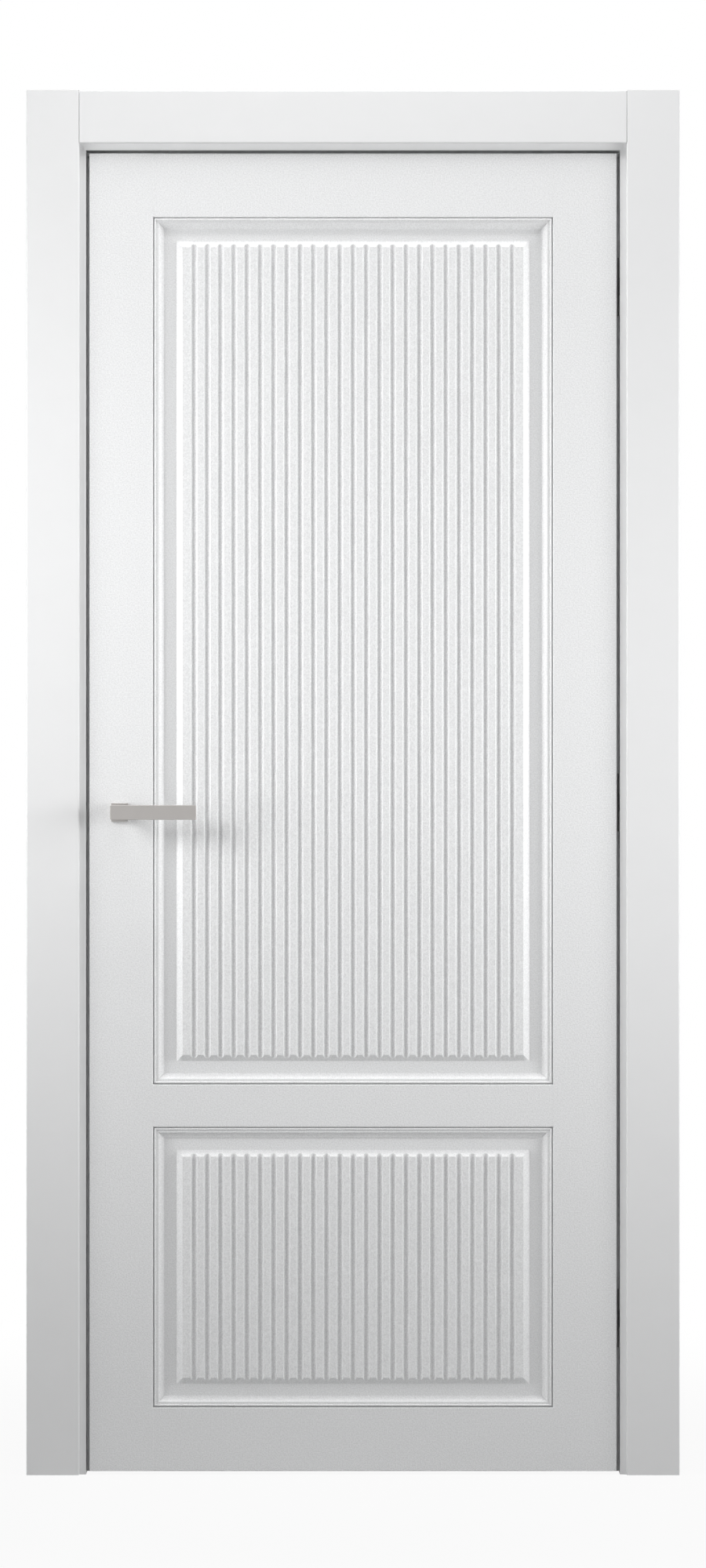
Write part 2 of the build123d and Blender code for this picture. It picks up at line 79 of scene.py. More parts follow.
half_opening = (opening_right - opening_left) / 2
plateau_half = half_opening - MOULDING_WIDTH - RECESS_WIDTH - BEVEL_RUN
flute_pitch = 2 * (plateau_half - FLUTE_MARGIN) / (FLUTE_COUNT - 1)
bevel_slope = (RECESS_DEPTH - PLATEAU_DEPTH) / BEVEL_RUN
bevel_angle = math.atan(bevel_slope)

# Mouldings: the section's points stand in from the leaf frame and back from the leaf's face
MITRE_GAP = 0.00015
MOULDING_GAP = 0.0001
QUIRK_DEPTH = 0.006
BEAD_START = 0.0015
BEAD_MIDDLE = 0.00295
BEAD_END = 0.0044
BEAD_CROWN = 0.00005
BEAD_EDGE = 0.0012
FLAT_DEPTH = 0.0020
COVE_START = 0.0080
COVE_MIDDLE = (0.0116, 0.0060)
COVE_END = (0.0162, 0.0085)
TOE_DEPTH = 0.0091
ARC_STEPS = 10

# Lever set
GRIP_THICKNESS = 0.010
GRIP_CORNER = 0.0018
GRIP_EDGE = 0.0006
GRIP_BACK_EDGE = 0.0003
NECK_RADIUS = 0.0085
NECK_FLARE = 0.0012
NECK_SINK = 0.0001
ROSE_CORNER = 0.0008
ROSE_EDGE = 0.0006
ROSE_BORE = 0.0088
BORE_EDGE = 0.0003
EDGE_STEPS = 5
CORNER_STEPS = 11
LEAST_RADIUS = 0.0001

spindle_low, spindle_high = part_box("spindle")
axis_x = (spindle_low.x + spindle_high.x) / 2
axis_z = (spindle_low.z + spindle_high.z) / 2

# Screws: rings in shares of the radius, places on a plate from the plate's middle
SCREW_RADIUS = 0.0038
SCREW_DOME = 0.0006
SCREW_SINK = 0.0006
SCREW_RINGS = (1.0, 0.95, 0.86, 0.74, 0.63)
CROSS_HALF = 0.0021
CROSS_SLOT = 0.00045
CROSS_DEPTH = 0.0012
CROSS_TAPER = 0.6
CROSS_STEPS = 3
HINGE_PLATE = 0.140
HINGE_SCREW = 0.061
HINGE_SCREW_ROWS = (-0.009, 0.009)
STRIKE_SCREW = 0.050
FOREND_SCREW = 0.088
FRAME_SEED = 3
LEAF_SEED = 8

# Meshes
MERGE_DISTANCE = 1e-6
CRISP_ANGLE = math.radians(32)
FLAT_WEIGHT = 80

# Finishes: brushing is noise with each direction stretched, along the grip or upright
ENAMEL_IOR = 1.48
FLOW_OVER_FILM = 4
# Contrast of the painted speckle shade in the leaf's colour, which stands in for the shading of the
# orange peel
PAINTED_SPECKLE_CONTRAST = 2
LUMPS_OVER_PEEL = 0.3
ALONG_GRIP = (0.06, 1.0, 1.6)
UPRIGHT = (1.0, 1.0, 0.04)
NICKEL_DARK = (0.400, 0.383, 0.371, 1.0)
NICKEL_LIGHT = (0.426, 0.410, 0.398, 1.0)

# Floor, surroundings and camera
PICTURE_HEIGHT = 2.38
CAMERA_DISTANCE = 9.0
CAMERA_HEIGHT = 1.048
SENSOR = 36.0
FLOOR_REACH = 8.0
FLOOR_NEAR = 0.7
FLOOR_FAR = 2.6
FLOOR_GREY = 0.5
FLOOR_WHITENESS = 0.93
AMBIENT = 0.17

# Lamps, each with its place from the leaf's middle line on the floor, its width and height,
# its watts, its spread and whether metal shows it
LIGHT_AIM = 1.2
FAR_SPREAD = math.radians(90)
NEAR_SPREAD = math.radians(75)
OPEN_SPREAD = math.pi
LAMPS = {
    "left_far_box": ((-2.3, -0.8, 1.3), (0.8, 1.2), 7.2, FAR_SPREAD, True),
    "left_near_box": ((-1.7, -1.4, 1.85), (0.8, 0.8), 3.5, NEAR_SPREAD, True),
    "right_far_box": ((2.5, -0.8, 1.45), (0.8, 1.2), 9.6, FAR_SPREAD, True),
    "right_near_box": ((2.1, -1.4, 0.95), (0.7, 1.0), 2.5, NEAR_SPREAD, True),
    "top_box": ((0.0, -0.4, 3.1), (1.6, 0.5), 19.5, OPEN_SPREAD, True),
    "low_box": ((0.0, -1.9, 0.45), (2.4, 0.8), 1.5, OPEN_SPREAD, False),
    "back_box": ((0.5, 3.0, 2.2), (2.0, 2.0), 55, OPEN_SPREAD, True),
}


# Shader trees
class Wire:
    """A number that runs through a shader tree: arithmetic on it adds Math nodes."""

    def __init__(self, finish, output):
        self.finish = finish
        self.output = output

    def math(self, operation, *values):
        return self.finish.add("ShaderNodeMath", {"operation": operation}, dict(enumerate(values)))

    def __add__(self, other):
        return self.math("ADD", self, other)

    def __sub__(self, other):
        return self.math("SUBTRACT", self, other)

    def __rsub__(self, other):
        return self.math("SUBTRACT", other, self)

    def __mul__(self, other):
        return self.math("MULTIPLY", self, other)

    __radd__ = __add__
    __rmul__ = __mul__


def socket_in_use(sockets, name):
    """The socket with a number or a name, of those that the node's settings leave in use."""
    if isinstance(name, int):
        return sockets[name]
    return next(socket for socket in sockets if socket.name == name and socket.enabled)


class Finish:
    """The nodes of one material, or of the studio's surroundings."""

    def __init__(self, owner):
        owner.use_nodes = True
        self.owner = owner
        self.tree = owner.node_tree
        self.tree.nodes.clear()

    def add(self, kind, settings=None, sockets=None, output=0):
        """A node of one type, its settings set first, then its sockets' values or links."""
        node = self.tree.nodes.new(kind)
        for name, value in (settings or {}).items():
            setattr(node, name, value)
        for name, value in (sockets or {}).items():
            socket = socket_in_use(node.inputs, name)
            if isinstance(value, Wire):
                self.tree.links.new(value.output, socket)
            else:
                socket.default_value = value
        return Wire(self, socket_in_use(node.outputs, output) if node.outputs else None)

    def place(self):
        """The point on the piece, in metres."""
        return self.add("ShaderNodeTexCoord", output="Object")

    def stretched(self, scale):
        """The point on the piece with each direction stretched by its own factor."""
        factors = {0: self.place(), 1: scale}
        return self.add("ShaderNodeVectorMath", {"operation": "MULTIPLY"}, factors)

    def noise(self, grain, detail=2.0, roughness=0.5, where=None):
        """A noise from 0 to 1 whose lumps are about grain metres wide."""
        sockets = {"Scale": 1 / grain, "Detail": detail, "Roughness": roughness}
        return self.add("ShaderNodeTexNoise", {}, {"Vector": where or self.place(), **sockets})

    def seen_by_eye(self):
        """One on rays that the camera sees, also by metal or glass, zero on those that light."""
        rays = self.add("ShaderNodeLightPath", output="Is Camera Ray")
        names = ("Is Glossy Ray", "Is Transmission Ray")
        others = [Wire(self, socket_in_use(rays.output.node.outputs, name)) for name in names]
        return sum(others, rays)

    def between(self, share, low, high):
        """Two colours mixed by a share."""
        sockets = {"Factor": share, "A": low, "B": high}
        return self.add("ShaderNodeMix", {"data_type": "RGBA"}, sockets, "Result")

    def bump(self, height, depth):
        """A normal bent by a height, where a height of 1 stands depth metres proud."""
        return self.add("ShaderNodeBump", {}, {"Height": height, "Distance": depth}, "Normal")

    def surface(self, **sockets):
        """The piece's shader: underscores in a socket's name stand for spaces."""
        named = {name.replace("_", " "): value for name, value in sockets.items()}
        shader = self.add("ShaderNodeBsdfPrincipled", {}, named)
        self.add("ShaderNodeOutputMaterial", {}, {"Surface": shader})
        return self.owner


def grey(level, warmth=0.0):
    """A neutral colour, warmer above zero and cooler below."""
    return (level * (1 + warmth), level, level * (1 - warmth), 1.0)


# Finishes: a roughness is its least value and what the grain adds to it
def satin_white():
    """Sprayed satin enamel on the flat frame boards, nearly smooth, with a faint flow."""
    finish = Finish(bpy.data.materials.new("satin_white_enamel"))
    flow = finish.noise(grain=0.045)
    film = finish.noise(grain=0.0025, detail=3.0)
    colour = finish.between(flow, grey(0.855, warmth=-0.004), grey(0.875, warmth=-0.004))
    return finish.surface(
        Base_Color=colour, Roughness=0.34 + 0.08 * film, IOR=ENAMEL_IOR,
        Normal=finish.bump(FLOW_OVER_FILM * flow + film, depth=0.00004),
    )


def peeled_white():
    """The leaf's enamel, sprayed thicker over the routed profiles. It has a fine orange peel in its
    bump, and a painted light-and-dark speckle in its colour that stands in for the peel's shading.
    """
    finish = Finish(bpy.data.materials.new("orange_peel_enamel_painted_speckle"))
    peel = finish.noise(grain=0.0020, roughness=0.6)
    lumps = finish.noise(grain=0.011, detail=1.0)
    # The peel noise also paints a light-and-dark speckle into the colour: painted shade in place of
    # the shading of the peel's bumps
    share = PAINTED_SPECKLE_CONTRAST * peel - (PAINTED_SPECKLE_CONTRAST - 1) / 2
    colour = finish.between(share, grey(0.765, warmth=-0.006), grey(0.97, warmth=-0.006))
    return finish.surface(
        Base_Color=colour, Roughness=0.32 + 0.12 * peel, IOR=ENAMEL_IOR,
        Normal=finish.bump(peel + LUMPS_OVER_PEEL * lumps, depth=0.0003),
    )


def satin_nickel():
    """Warm grey satin nickel with fine brushing along the grip."""
    finish = Finish(bpy.data.materials.new("warm_satin_nickel"))
    brushing = finish.noise(grain=0.001, detail=3.0, where=finish.stretched(ALONG_GRIP))
    cloud = finish.noise(grain=0.02)
    return finish.surface(
        Base_Color=finish.between(cloud, NICKEL_DARK, NICKEL_LIGHT), Metallic=1.0,
        Roughness=0.36 + 0.12 * brushing, Normal=finish.bump(brushing, depth=0.00003),
    )


def brushed_steel():
    """Brushed stainless steel, its lines upright along the forend and strike."""
    finish = Finish(bpy.data.materials.new("brushed_latch_steel"))
    lines = finish.noise(grain=0.0008, detail=3.0, where=finish.stretched(UPRIGHT))
    return finish.surface(
        Base_Color=finish.between(lines, grey(0.50), grey(0.60)), Metallic=1.0,
        Roughness=0.26 + 0.14 * lines, Normal=finish.bump(lines, depth=0.00003),
    )


def cast_zinc():
    """Satin-plated zinc castings of the hinges, with a fine cast skin."""
    finish = Finish(bpy.data.materials.new("plated_hinge_zinc"))
    grit = finish.noise(grain=0.0012, detail=3.0)
    cloud = finish.noise(grain=0.012)
    return finish.surface(
        Base_Color=finish.between(cloud, grey(0.52), grey(0.60)), Metallic=1.0,
        Roughness=0.34 + 0.12 * grit, Normal=finish.bump(grit, depth=0.00006),
    )


def soft_rubber():
    """The seal's matt pale rubber with a fine skin."""
    finish = Finish(bpy.data.materials.new("pale_seal_rubber"))
    grit = finish.noise(grain=0.0009, detail=3.0)
    cloud = finish.noise(grain=0.03)
    return finish.surface(
        Base_Color=finish.between(cloud, grey(0.66), grey(0.72)),
        Roughness=0.72 + 0.12 * grit, Normal=finish.bump(grit, depth=0.00006),
    )


def black_cap():
    """The magnetic bolt's matt moulded cap."""
    finish = Finish(bpy.data.materials.new("matt_bolt_cap"))
    spark = finish.noise(grain=0.0007, detail=3.0)
    return finish.surface(
        Base_Color=finish.between(spark, grey(0.018), grey(0.030)),
        Roughness=0.48 + 0.16 * spark, Normal=finish.bump(spark, depth=0.00006),
    )


FINISHES = {
    "frame_paint": satin_white(),
    "leaf_paint": peeled_white(),
    "satin_nickel": satin_nickel(),
    "latch_steel": brushed_steel(),
    "hinge_metal": cast_zinc(),
    "seal": soft_rubber(),
    "bolt_cap": black_cap(),
}


# Meshes
def skin(work, lines, loop=True, ends="capped"):
    """Adds faces between lines of points, run round or not, their ends capped, open or joined."""
    rows = [[work.verts.new(point) for point in line] for line in lines]
    if ends == "joined":
        rows.append(rows[0])
    for here, there in zip(rows, rows[1:]):
        for index in range(len(here) if loop else len(here) - 1):
            after = (index + 1) % len(here)
            work.faces.new((here[index], here[after], there[after], there[index]))
    if ends == "capped":
        work.faces.new(rows[0])
        work.faces.new(rows[-1])


def to_back(work, turned):
    """Carries a shape from the leaf's front to its back, mirrored or turned half round."""
    for corner in work.verts:
        corner.co.y = 2 * middle_y - corner.co.y
        if turned:
            corner.co.x = 2 * centre_x - corner.co.x


def clean(work):
    """Merges doubles and slivers."""
    bmesh.ops.remove_doubles(work, verts=work.verts, dist=MERGE_DISTANCE)
    bmesh.ops.dissolve_degenerate(work, edges=work.edges, dist=MERGE_DISTANCE)


def settled(name, work):
    """A plain mesh from a bmesh: merged, its faces outwards, its crisp edges kept."""
    clean(work)
    bmesh.ops.recalc_face_normals(work, faces=work.faces)
    mesh = bpy.data.meshes.new(name)
    work.to_mesh(mesh)
    work.free()
    mesh.shade_smooth()
    mesh.set_sharp_from_angle(angle=CRISP_ANGLE)
    return mesh


def piece(name, mesh, body, slot, *nodes):
    """A finished piece: an object at the origin, on its body, in place of the nodes named."""
    mesh.materials.clear()
    mesh.materials.append(FINISHES[slot])
    made = bpy.data.objects.new(name, mesh)
    bpy.context.scene.collection.objects.link(made)
    level = made.modifiers.new("flat_faces_stay_flat", "WEIGHTED_NORMAL")
    level.keep_sharp = True
    level.weight = FLAT_WEIGHT
    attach(made, body)
    if nodes:
        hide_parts(*nodes)


# Geometry trees
def new_tree(name, inputs):
    """A geometry tree with named inputs, and its group input and output nodes."""
    tree = bpy.data.node_groups.new(name, "GeometryNodeTree")
    tree.interface.new_socket("Geometry", in_out="OUTPUT", socket_type="NodeSocketGeometry")
    for label, kind in [("Geometry", "NodeSocketGeometry"), *inputs.items()]:
        tree.interface.new_socket(label, in_out="INPUT", socket_type=kind)
    return tree, tree.nodes.new("NodeGroupInput"), tree.nodes.new("NodeGroupOutput")


def wire(tree, links):
    """Joins pairs of sockets."""
    for source, target in links:
        tree.links.new(source, target)


def row_of_copies():
    """A tree that lays copies of its mesh along X, side by side, and makes them one mesh."""
    inputs = {"Count": "NodeSocketInt", "Pitch": "NodeSocketFloat", "Finish": "NodeSocketMaterial"}
    tree, given, result = new_tree("row_of_copies", inputs)
    step = tree.nodes.new("ShaderNodeCombineXYZ")
    line = tree.nodes.new("GeometryNodeMeshLine")
    copies = tree.nodes.new("GeometryNodeInstanceOnPoints")
    real = tree.nodes.new("GeometryNodeRealizeInstances")
    merge = tree.nodes.new("GeometryNodeMergeByDistance")
    merge.inputs["Distance"].default_value = MERGE_DISTANCE
    finish = tree.nodes.new("GeometryNodeSetMaterial")
    wire(tree, [
        (given.outputs["Pitch"], step.inputs["X"]),
        (given.outputs["Count"], line.inputs["Count"]),
        (step.outputs["Vector"], line.inputs["Offset"]),
        (line.outputs["Mesh"], copies.inputs["Points"]),
        (given.outputs["Geometry"], copies.inputs["Instance"]),
        (copies.outputs["Instances"], real.inputs["Geometry"]),
        (real.outputs["Geometry"], merge.inputs["Geometry"]),
        (merge.outputs["Geometry"], finish.inputs["Geometry"]),
        (given.outputs["Finish"], finish.inputs["Material"]),
        (finish.outputs["Geometry"], result.inputs["Geometry"]),
    ])
    return tree


def screws_on_points():
    """A tree that sets a screw on each point, facing as the point says and spun by chance."""
    inputs = {"Screw": "NodeSocketObject", "Seed": "NodeSocketInt", "Finish": "NodeSocketMaterial"}
    tree, given, result = new_tree("screws_on_points", inputs)
    screw = tree.nodes.new("GeometryNodeObjectInfo")
    facing = tree.nodes.new("GeometryNodeInputNamedAttribute")
    facing.data_type = "FLOAT_VECTOR"
    facing.inputs["Name"].default_value = "facing"
    aim = tree.nodes.new("FunctionNodeAlignRotationToVector")
    aim.axis = "Z"
    copies = tree.nodes.new("GeometryNodeInstanceOnPoints")
    chance = tree.nodes.new("FunctionNodeRandomValue")
    socket_in_use(chance.inputs, "Max").default_value = math.pi
    spin = tree.nodes.new("ShaderNodeCombineXYZ")
    turn = tree.nodes.new("GeometryNodeRotateInstances")
    real = tree.nodes.new("GeometryNodeRealizeInstances")
    finish = tree.nodes.new("GeometryNodeSetMaterial")
    wire(tree, [
        (given.outputs["Screw"], screw.inputs["Object"]),
        (socket_in_use(facing.outputs, "Attribute"), aim.inputs["Vector"]),
        (given.outputs["Geometry"], copies.inputs["Points"]),
        (screw.outputs["Geometry"], copies.inputs["Instance"]),
        (aim.outputs["Rotation"], copies.inputs["Rotation"]),
        (given.outputs["Seed"], chance.inputs["Seed"]),
        (socket_in_use(chance.outputs, "Value"), spin.inputs["Z"]),
        (copies.outputs["Instances"], turn.inputs["Instances"]),
        (spin.outputs["Vector"], turn.inputs["Rotation"]),
        (turn.outputs["Instances"], real.inputs["Geometry"]),
        (real.outputs["Geometry"], finish.inputs["Geometry"]),
        (given.outputs["Finish"], finish.inputs["Material"]),
        (finish.outputs["Geometry"], result.inputs["Geometry"]),
    ])
    return tree


def grown(name, mesh, tree, settings):
    """The plain mesh that a geometry tree makes of a mesh, with its named inputs set."""
    carrier = bpy.data.objects.new(name, mesh)
    modifier = carrier.modifiers.new(name, "NODES")
    modifier.node_group = tree
    for socket in tree.interface.items_tree:
        if socket.in_out == "INPUT" and socket.name in settings:
            modifier[socket.identifier] = settings[socket.name]
    bpy.context.scene.collection.objects.link(carrier)
    ready = carrier.evaluated_get(bpy.context.evaluated_depsgraph_get())
    result = bpy.data.meshes.new_from_object(ready)
    bpy.data.objects.remove(carrier)
    return result


# Raised and fluted panels
def soft_corner():
    """The eased edge between a panel's left bevel and its flat, in plan, from the bevel inwards."""
    points = []
    reach = SOFT_EDGE * math.tan(bevel_angle / 2)
    for step in range(SOFT_STEPS + 1):
        turn = bevel_angle * (1 - step / SOFT_STEPS)
        across = reach - SOFT_EDGE * math.sin(turn)
        points.append((-plateau_half + across, PLATEAU_DEPTH + SOFT_EDGE * (1 - math.cos(turn))))
    return points


def flute_section():
    """One pitch of the fluted field in plan: an elliptical hollow, eased edges and flats."""
    left = [(-flute_pitch / 2, PLATEAU_DEPTH)]
    for step in range(SOFT_STEPS):
        turn = math.pi / 2 * step / SOFT_STEPS
        across = -FLUTE_WIDTH / 2 - SOFT_EDGE * (1 - math.sin(turn))
        left.append((across, PLATEAU_DEPTH + SOFT_EDGE * (1 - math.cos(turn))))
    hollow = []
    for step in range(FLUTE_STEPS + 1):
        turn = math.pi * (step / FLUTE_STEPS - 0.5)
        deep = SOFT_EDGE + (FLUTE_DEPTH - SOFT_EDGE) * math.cos(turn)
        hollow.append((FLUTE_WIDTH / 2 * math.sin(turn), PLATEAU_DEPTH + deep))
    right = [(-x, depth) for x, depth in reversed(left)]
    return left + hollow + right


def panel_column(x, depth, bottom, top):
    """One upright line of a panel's face, over its lower bevel, its flat and its upper bevel."""
    drop = RECESS_DEPTH - depth
    ease = min(SOFT_EDGE, drop / (2 * math.tan(bevel_angle / 2) * math.sin(bevel_angle)))
    reach = ease * math.tan(bevel_angle / 2)
    rise = drop / bevel_slope
    inset = MOULDING_WIDTH + RECESS_WIDTH
    steps = [(-inset - TONGUE, RECESS_DEPTH), (0.0, RECESS_DEPTH)]
    for step in range(SOFT_STEPS + 1):
        turn = bevel_angle * (1 - step / SOFT_STEPS)
        steps.append((rise + reach - ease * math.sin(turn), depth + ease * (1 - math.cos(turn))))
    lower = [(x, leaf_front + deep, bottom + inset + up) for up, deep in steps]
    upper = [(x, leaf_front + deep, top - inset - up) for up, deep in reversed(steps)]
    return lower + upper


def panel_strip(section, bottom, top):
    """A part of a panel's front face over a stretch of its plan section."""
    work = bmesh.new()
    columns = [panel_column(x, depth, bottom, top) for x, depth in section]
    skin(work, columns, loop=False, ends="open")
    mesh = bpy.data.meshes.new("panel_strip")
    work.to_mesh(mesh)
    work.free()
    return mesh


def raised_panel(name, bottom, top, copies):
    """A raised panel with a fluted field on both faces, closed round its tongue."""
    first = -plateau_half + FLUTE_MARGIN
    border = [(-half_opening - TONGUE, RECESS_DEPTH), (-plateau_half - BEVEL_RUN, RECESS_DEPTH)]
    border += soft_corner()
    border.append((first - flute_pitch / 2, PLATEAU_DEPTH))
    left = [(centre_x + x, depth) for x, depth in border]
    right = [(centre_x - x, depth) for x, depth in reversed(border)]
    flute = [(centre_x + first + x, depth) for x, depth in flute_section()]
    field = grown("fluted_field", panel_strip(flute, bottom, top), copies, {
        "Count": FLUTE_COUNT, "Pitch": flute_pitch, "Finish": FINISHES["leaf_paint"],
    })
    work = bmesh.new()
    for mesh in (panel_strip(left, bottom, top), field, panel_strip(right, bottom, top)):
        work.from_mesh(mesh)
    front = bpy.data.meshes.new(name)
    work.to_mesh(front)
    to_back(work, turned=True)
    work.from_mesh(front)
    clean(work)
    bmesh.ops.bridge_loops(work, edges=[edge for edge in work.edges if edge.is_boundary])
    return settled(name, work)


# Mouldings
def arc_points(start, over, end):
    """Points along the arc through three points, without its start."""
    (ax, ay), (bx, by), (cx, cy) = start, over, end
    d = 2 * (ax * (by - cy) + bx * (cy - ay) + cx * (ay - by))
    a, b, c = (x ** 2 + y ** 2 for x, y in (start, over, end))
    ux = (a * (by - cy) + b * (cy - ay) + c * (ay - by)) / d
    uy = (a * (cx - bx) + b * (ax - cx) + c * (bx - ax)) / d
    radius = math.hypot(ax - ux, ay - uy)
    first, middle, last = (math.atan2(y - uy, x - ux) for x, y in (start, over, end))
    sweep = (last - first) % math.tau
    if (middle - first) % math.tau > sweep:
        sweep -= math.tau
    turns = [first + sweep * step / ARC_STEPS for step in range(1, ARC_STEPS + 1)]
    return [(ux + radius * math.cos(turn), uy + radius * math.sin(turn)) for turn in turns]


def moulding_section():
    """The moulding's section: its quirk, bead, flat, cove and toe."""
    base = RECESS_DEPTH - MOULDING_GAP
    bead_start = (BEAD_START, BEAD_EDGE)
    bead = arc_points(bead_start, (BEAD_MIDDLE, BEAD_CROWN), (BEAD_END, BEAD_EDGE))
    cove = arc_points((COVE_START, FLAT_DEPTH), COVE_MIDDLE, COVE_END)
    return [
        (MOULDING_GAP, base), (MOULDING_GAP, QUIRK_DEPTH), (BEAD_START, QUIRK_DEPTH), bead_start,
        *bead, (BEAD_END, FLAT_DEPTH), (COVE_START, FLAT_DEPTH), *cove,
        (COVE_END[0], TOE_DEPTH), (MOULDING_WIDTH, TOE_DEPTH), (MOULDING_WIDTH, base),
    ]


def moulding_frame(name, bottom, top, front):
    """Four mitred sticks round a panel, with a fine open joint at each mitre."""
    work = bmesh.new()
    corners = [Vector(corner) for corner in (
        (opening_left, bottom), (opening_right, bottom), (opening_right, top), (opening_left, top),
    )]
    for start, end in zip(corners, corners[1:] + corners[:1]):
        along = (end - start).normalized()
        inward = Vector((-along.y, along.x))
        lines = []
        for mitre, way in ((start, 1), (end, -1)):
            line = []
            for inset, depth in moulding_section():
                flat = mitre + along * way * (MITRE_GAP + inset) + inward * inset
                line.append((flat.x, leaf_front + depth, flat.y))
            lines.append(line)
        skin(work, lines)
    if not front:
        to_back(work, turned=True)
    return settled(name, work)


# Lever set
def eased_edge(face, edge, way):
    """Insets and depths of a quarter-round edge, from a face inwards, way 1 towards the back."""
    turns = [math.pi / 2 * step / EDGE_STEPS for step in range(EDGE_STEPS + 1)]
    return [
        (edge * (1 - math.sin(turn)), face + way * edge * (1 - math.cos(turn))) for turn in turns
    ]


def rounded_line(low, high, inset, corner, y):
    """Points round a rectangle in x and z with rounded corners, at one depth."""
    radius = max(corner - inset, LEAST_RADIUS)
    points = []
    for quarter in range(4):
        across = high.x - inset - radius if quarter in (0, 3) else low.x + inset + radius
        up = high.z - inset - radius if quarter in (0, 1) else low.z + inset + radius
        for step in range(CORNER_STEPS + 1):
            turn = math.pi / 2 * (quarter + step / CORNER_STEPS)
            points.append((across + radius * math.cos(turn), y, up + radius * math.sin(turn)))
    return points


def round_line(radius, y):
    """Points round the lever's axis at one depth, abreast of a rounded line's points."""
    around = 4 * (CORNER_STEPS + 1)
    turns = [math.tau * (index + 0.5) / around for index in range(around)]
    return [
        (axis_x + radius * math.cos(turn), y, axis_z + radius * math.sin(turn)) for turn in turns
    ]


def lever_grip(side):
    """A flat bar grip with eased edges, on a round neck that flares where it meets the grip."""
    low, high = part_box("lever_front")
    back = low.y + GRIP_THICKNESS
    levels = eased_edge(low.y, GRIP_EDGE, 1) + eased_edge(back, GRIP_BACK_EDGE, -1)[::-1]
    flare = eased_edge(back - NECK_SINK, NECK_FLARE, 1)
    work = bmesh.new()
    skin(work, [rounded_line(low, high, inset, GRIP_CORNER, y) for inset, y in levels])
    skin(work, [round_line(NECK_RADIUS + wider, y) for wider, y in flare + [(0.0, high.y)]])
    if side == "back":
        to_back(work, turned=False)
    name = "bar_lever_" + side
    piece(name, settled(name, work), "lever", "satin_nickel", "lever_" + side)


def block_rose(side):
    """The small block rose with eased edges, bored for the neck."""
    low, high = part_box("rose_front")
    levels = eased_edge(low.y, ROSE_EDGE, 1)[::-1]
    lines = [rounded_line(low, high, inset, ROSE_CORNER, y) for inset, y in levels]
    bore = [(ROSE_BORE + inset, y) for inset, y in eased_edge(low.y, BORE_EDGE, 1)]
    lines += [round_line(radius, y) for radius, y in bore + [(ROSE_BORE, high.y)]]
    lines.append(rounded_line(low, high, 0.0, ROSE_CORNER, high.y))
    work = bmesh.new()
    skin(work, lines, ends="joined")
    if side == "back":
        to_back(work, turned=False)
    name = "block_rose_" + side
    piece(name, settled(name, work), "leaf", "satin_nickel", "rose_" + side)


# Screws
def dome_height(radius):
    """The height of the screw's domed face at a radius."""
    return SCREW_DOME * (1 - (radius / SCREW_RADIUS) ** 2)


def screw_head():
    """An oval countersunk head with a tapered cross recess, its axis along Z, its rim at zero."""
    quarter = [(CROSS_HALF, -CROSS_SLOT), (CROSS_HALF, CROSS_SLOT), (CROSS_SLOT, CROSS_SLOT)]
    corners = []
    for turn in range(4):
        corners += quarter
        quarter = [(-y, x) for x, y in quarter]
    cross = []
    for start, end in zip(corners, corners[1:] + corners[:1]):
        shares = [step / CROSS_STEPS for step in range(CROSS_STEPS)]
        cross += [Vector(start).lerp(Vector(end), share) for share in shares]
    around = len(cross)
    turns = [math.tau * (index - CROSS_STEPS / 2) / around for index in range(around)]
    radii = [share * SCREW_RADIUS for share in SCREW_RINGS]
    rings = [(SCREW_RADIUS, -SCREW_SINK)] + [(radius, dome_height(radius)) for radius in radii]
    lines = [
        [(radius * math.cos(turn), radius * math.sin(turn), height) for turn in turns]
        for radius, height in rings
    ]
    lines.append([(point.x, point.y, dome_height(point.length)) for point in cross])
    floor_z = SCREW_DOME - CROSS_DEPTH
    lines.append([(point.x * CROSS_TAPER, point.y * CROSS_TAPER, floor_z) for point in cross])
    work = bmesh.new()
    skin(work, lines)
    holder = bpy.data.objects.new("screw_head", settled("screw_head", work))
    bpy.context.scene.collection.objects.link(holder)
    return holder


def above_and_below(middles, reach):
    """Heights of screws at a reach below and above each middle."""
    return [middle + way * reach for middle in middles for way in (-1, 1)]


def screw_row(node, facing, heights, offsets=(0,)):
    """Places and facings of a plate's screws, on its outer face across X."""
    low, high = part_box(node)
    x = high.x if facing > 0 else low.x
    middle = (low.y + high.y) / 2
    return [((x, middle + offset, z), (facing, 0, 0)) for z in heights for offset in offsets]


def screws(name, body, rows, seed):
    """All the screws of one body as one mesh."""
    points = bpy.data.meshes.new(name)
    points.from_pydata([place for place, facing in rows], [], [])
    facings = points.attributes.new("facing", "FLOAT_VECTOR", "POINT")
    facings.data.foreach_set("vector", [value for place, facing in rows for value in facing])
    head = screw_head()
    settings = {"Screw": head, "Seed": seed, "Finish": FINISHES["latch_steel"]}
    mesh = grown(name, points, screws_on_points(), settings)
    bpy.data.objects.remove(head)
    mesh.shade_smooth()
    mesh.set_sharp_from_angle(angle=CRISP_ANGLE)
    piece(name, mesh, body, "latch_steel")


# Assembly
copies = row_of_copies()
for place, (bottom, top) in openings.items():
    node = "panel_" + place
    panel = raised_panel(node, bottom, top, copies)
    piece("fluted_" + node, panel, "leaf", "leaf_paint", node)
    for side in ("front", "back"):
        node = f"moulding_{place}_{side}"
        sticks = moulding_frame(node, bottom, top, side == "front")
        piece("mitred_" + node, sticks, "leaf", "leaf_paint", node)
for side in ("front", "back"):
    lever_grip(side)
    block_rose(side)

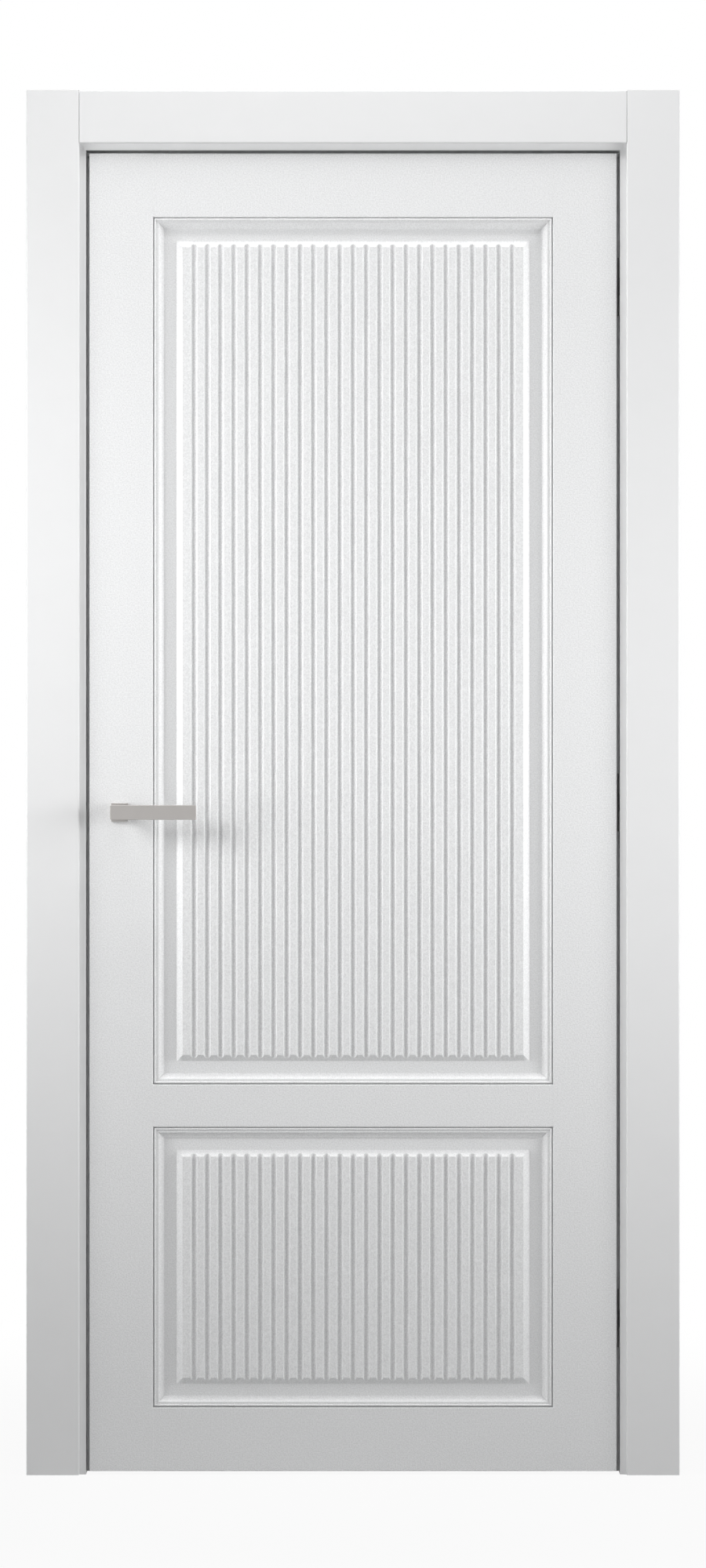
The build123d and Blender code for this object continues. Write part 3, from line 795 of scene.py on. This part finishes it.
hinge_low, hinge_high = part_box("hinge_cups_leaf")
first_hinge = hinge_low.z + HINGE_PLATE / 2
last_hinge = hinge_high.z - HINGE_PLATE / 2
hinge_heights = [first_hinge, (first_hinge + last_hinge) / 2, last_hinge]
hinge_screws = above_and_below(hinge_heights, HINGE_SCREW)
latch_low, latch_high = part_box("latch_case")
latch_z = (latch_low.z + latch_high.z) / 2
frame_rows = screw_row("hinge_cups_frame", -1, hinge_screws, HINGE_SCREW_ROWS)
frame_rows += screw_row("strike_plate", 1, above_and_below([latch_z], STRIKE_SCREW))
leaf_rows = screw_row("hinge_cups_leaf", 1, hinge_screws, HINGE_SCREW_ROWS)
leaf_rows += screw_row("latch_case", -1, above_and_below([latch_z], FOREND_SCREW))
screws("frame_screws", "frame", frame_rows, FRAME_SEED)
screws("leaf_screws", "leaf", leaf_rows, LEAF_SEED)

# Every CAD node wears the finish that its record names
for row in frame["record"]["subparts"]:
    made = frame["nodes"][row["node"]]
    if not made.material_slots:
        made.data.materials.append(None)
    for slot in made.material_slots:
        slot.material = FINISHES[row["material_slot"]]


# Floor, light and camera
def floor():
    """A pale floor that keeps the door's shadow close by and goes over into the white around it."""
    mesh = bpy.data.meshes.new("floor")
    ways = ((-1, -1), (1, -1), (1, 1), (-1, 1))
    mesh.from_pydata([(x * FLOOR_REACH, y * FLOOR_REACH, 0) for x, y in ways], [], [(0, 1, 2, 3)])
    made = bpy.data.objects.new("floor", mesh)
    bpy.context.scene.collection.objects.link(made)
    finish = Finish(bpy.data.materials.new("pale_floor"))
    seen = finish.seen_by_eye()
    points = {0: finish.place(), 1: (centre_x, middle_y, 0)}
    offset = finish.add("ShaderNodeVectorMath", {"operation": "SUBTRACT"}, points)
    away = finish.add("ShaderNodeVectorMath", {"operation": "LENGTH"}, {0: offset}, "Value")
    whiteness = finish.add("ShaderNodeMapRange", {"interpolation_type": "SMOOTHSTEP"}, {
        "Value": away, "From Min": FLOOR_NEAR, "From Max": FLOOR_FAR,
        "To Min": FLOOR_WHITENESS, "To Max": 1.0,
    })
    matt = finish.add("ShaderNodeBsdfDiffuse", {}, {"Color": grey(FLOOR_GREY)})
    white = finish.add("ShaderNodeEmission", {}, {"Color": grey(1.0), "Strength": 1.0})
    both = finish.add("ShaderNodeMixShader", {}, {0: seen * whiteness, 1: matt, 2: white})
    finish.add("ShaderNodeOutputMaterial", {}, {"Surface": both})
    mesh.materials.append(finish.owner)


def surroundings():
    """A white surrounding that the camera and gloss see, and a dim even light for the rest."""
    world = bpy.data.worlds.new("studio")
    bpy.context.scene.world = world
    studio = Finish(world)
    dim = studio.add("ShaderNodeBackground", {}, {"Color": grey(1.0), "Strength": AMBIENT})
    white = studio.add("ShaderNodeBackground", {}, {"Color": grey(1.0), "Strength": 1.0})
    both = studio.add("ShaderNodeMixShader", {}, {0: studio.seen_by_eye(), 1: dim, 2: white})
    studio.add("ShaderNodeOutputWorld", {}, {"Surface": both})


def softbox(name, offset, size, power, spread, glossy):
    """A rectangular area light aimed at the leaf."""
    light = bpy.data.lights.new(name, "AREA")
    light.shape = "RECTANGLE"
    light.size, light.size_y = size
    light.energy = power
    light.spread = spread
    made = bpy.data.objects.new(name, light)
    bpy.context.scene.collection.objects.link(made)
    made.location = Vector((centre_x, middle_y, 0)) + Vector(offset)
    aim = Vector((centre_x, middle_y, LIGHT_AIM)) - made.location
    made.rotation_euler = aim.to_track_quat("-Z", "Y").to_euler()
    made.visible_glossy = glossy


def camera():
    """A long lens square to the door, level with its middle, framing the photo's height."""
    lens = bpy.data.cameras.new("camera")
    lens.sensor_width = SENSOR
    lens.lens = SENSOR * CAMERA_DISTANCE / PICTURE_HEIGHT
    made = bpy.data.objects.new("camera", lens)
    bpy.context.scene.collection.objects.link(made)
    made.location = (centre_x, leaf_front - CAMERA_DISTANCE, CAMERA_HEIGHT)
    made.rotation_euler = (math.pi / 2, 0, 0)
    bpy.context.scene.camera = made


floor()
surroundings()
for name, settings in LAMPS.items():
    softbox(name, *settings)
camera()
bpy.context.scene.view_settings.view_transform = "Standard"
